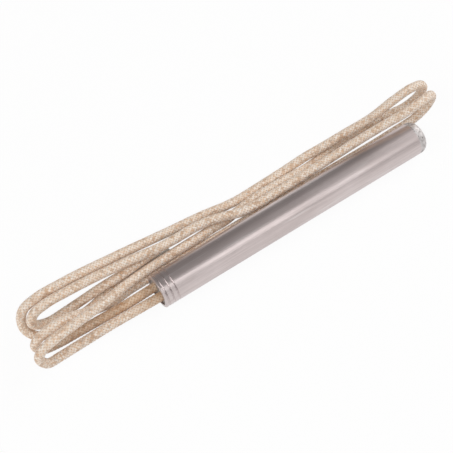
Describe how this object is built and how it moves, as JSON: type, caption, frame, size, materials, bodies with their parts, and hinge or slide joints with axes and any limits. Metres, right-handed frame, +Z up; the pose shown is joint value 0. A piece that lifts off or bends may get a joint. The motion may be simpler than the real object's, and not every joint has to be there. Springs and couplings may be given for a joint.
{
  "type": "cartridge heater",
  "caption": "Round metal cartridge heater with a welded tip, rolled rings at the lead end and braided leads folded into a hank, for warming a bored block.",
  "frame": {"origin": "middle of the heater's length, on the surface that the sheath lies on, under its axis", "axes": "+X along the sheath from the lead end to the welded tip, +Y towards the folded leads, +Z up"},
  "size_m": [0.0924, 0.0138, 0.0092],
  "materials": {
    "stainless": "satin, drawn lengthways",
    "weld": "as welded, slightly rough",
    "seal": "matt",
    "ceramic": "matt",
    "magnesia": "matt, pressed",
    "resistance_wire": "drawn",
    "splice_metal": "crimped",
    "pin_metal": "drawn",
    "braid": "lacquered glass-fibre braid",
    "conductor_metal": "bright plated strands"
  },
  "bodies": {
    "root": {"sheath": "stainless", "end_disc": "weld", "lead_seal": "seal", "splice_block": "ceramic", "tip_spacer": "ceramic", "powder_fill": "magnesia", "resistance_winding": "resistance_wire", "core_1": "magnesia", "core_2": "magnesia", "core_3": "magnesia", "core_4": "magnesia", "core_5": "magnesia", "splice_a": "splice_metal", "splice_b": "splice_metal", "terminal_pin_a": "pin_metal", "terminal_pin_b": "pin_metal", "lead_a": "braid", "lead_b": "braid", "conductor_a": "conductor_metal", "conductor_b": "conductor_metal"}
  },
  "joints": []
}
